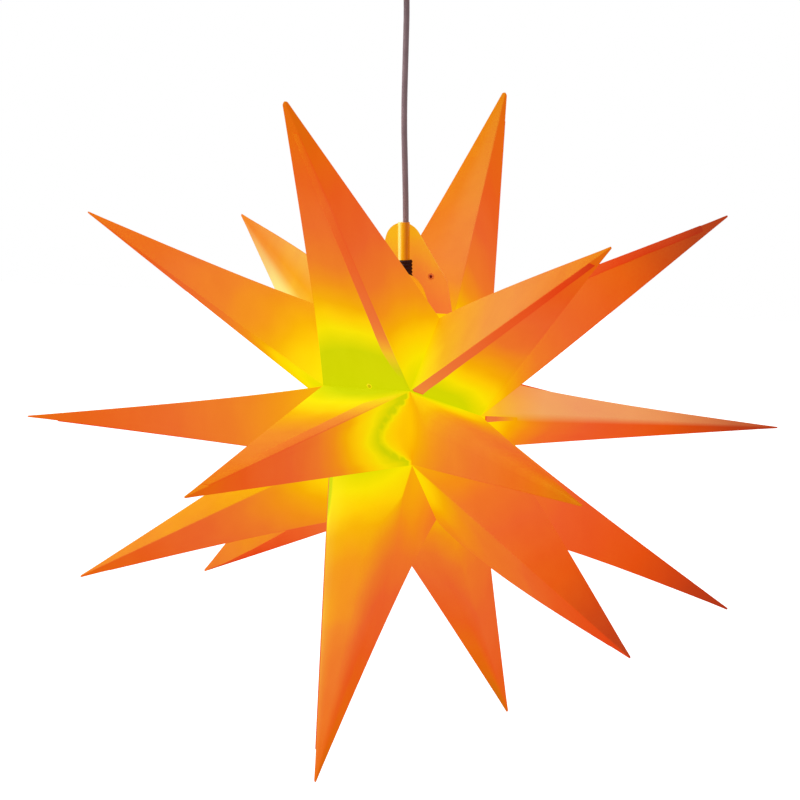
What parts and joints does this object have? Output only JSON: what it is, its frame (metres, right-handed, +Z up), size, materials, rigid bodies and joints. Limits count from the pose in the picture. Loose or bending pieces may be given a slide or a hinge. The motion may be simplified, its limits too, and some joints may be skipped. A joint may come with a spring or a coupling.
{
  "type": "hanging christmas star light",
  "caption": "Hanging Christmas star of hollow translucent orange plastic points that glow round a bulb, on a cord from a round ceiling canopy.",
  "frame": {"origin": "middle of the ceiling face, where the bracket and canopy meet the ceiling", "axes": "+Z up, -Y towards the front, +X along the star's pole axis to the right"},
  "size_m": [0.4562, 0.5661, 0.6061],
  "materials": {
    "star_sheet": "satin translucent orange sheet, lit from inside",
    "sleeve_plastic": "glossy amber",
    "cord_sheath": "soft sheath",
    "eyelet_brass": "rolled",
    "black_plastic": "moulded",
    "contact_brass": "stamped",
    "wire_insulation": "plain",
    "bulb_cap_metal": "rolled thread",
    "bulb_plastic": "moulded",
    "board": "white mask",
    "led": "phosphor",
    "bulb_globe": "opal",
    "canopy_white": "moulded",
    "zinc_steel": "zinc plated",
    "block_plastic": "moulded"
  },
  "bodies": {
    "ceiling_fitting": {"canopy": "canopy_white", "ceiling_bracket": "zinc_steel", "canopy_screws": "zinc_steel", "terminal_block": "block_plastic", "terminal_screws": "contact_brass", "cord_tail": "cord_sheath", "supply_wires": "wire_insulation"},
    "swivel": {"swivel_ball": "canopy_white"},
    "cord": {"cord": "cord_sheath"},
    "star": {"point_upper_front_left": "star_sheet", "point_upper_front_middle": "star_sheet", "point_upper_front_right": "star_sheet", "point_front_left": "star_sheet", "point_front_middle": "star_sheet", "point_front_right": "star_sheet", "point_lower_front_left": "star_sheet", "point_lower_front_middle": "star_sheet", "point_lower_front_right": "star_sheet", "cord_sleeve": "sleeve_plastic", "holder_neck": "black_plastic", "holder_leads": "wire_insulation", "holder_cap": "black_plastic", "socket_body": "black_plastic", "socket_shell": "contact_brass", "socket_contact": "contact_brass"},
    "rear_half": {"point_upper_rear_left": "star_sheet", "point_upper_rear_middle": "star_sheet", "point_upper_rear_right": "star_sheet", "point_rear_left": "star_sheet", "point_rear_middle": "star_sheet", "point_rear_right": "star_sheet", "point_lower_rear_left": "star_sheet", "point_lower_rear_middle": "star_sheet", "point_lower_rear_right": "star_sheet"},
    "tongue": {"tongue": "star_sheet", "tongue_eyelets": "eyelet_brass"},
    "front_tab": {"front_tab": "star_sheet"},
    "bulb": {"bulb_tip": "contact_brass", "bulb_insulator": "black_plastic", "bulb_cap": "bulb_cap_metal", "bulb_collar": "bulb_plastic", "led_board": "board", "led_chips": "led", "bulb_globe": "bulb_globe"}
  },
  "joints": [
    {"name": "swing_front_back", "type": "hinge", "parent": "ceiling_fitting", "child": "swivel", "pos_m": [0, 0, -0.0345], "axis": [1, 0, 0], "range_deg": [-12, 12]},
    {"name": "swing_sideways", "type": "hinge", "parent": "swivel", "child": "cord", "pos_m": [0, 0, -0.0345], "axis": [0, 1, 0], "range_deg": [-12, 12]},
    {"name": "star_turn", "type": "hinge", "parent": "cord", "child": "star", "pos_m": [0, 0, -0.0345], "axis": [0, 0, 1], "range_deg": [-180, 180]},
    {"name": "seam_open", "type": "hinge", "parent": "star", "child": "rear_half", "pos_m": [0, 0, -0.4345], "axis": [-1, 0, 0], "range_deg": [0, 35]},
    {"name": "tongue_fold", "type": "hinge", "parent": "rear_half", "child": "tongue", "pos_m": [0, 0.011, -0.28382], "axis": [-1, 0, 0], "range_deg": [0, 36]},
    {"name": "front_tab_fold", "type": "hinge", "parent": "star", "child": "front_tab", "pos_m": [0, -0.011, -0.28382], "axis": [1, 0, 0], "range_deg": [0, 36]},
    {"name": "bulb_turn", "type": "hinge", "parent": "star", "child": "bulb", "pos_m": [0, 0, -0.357], "axis": [0, 0, -1], "range_deg": [0, 720]}
  ]
}
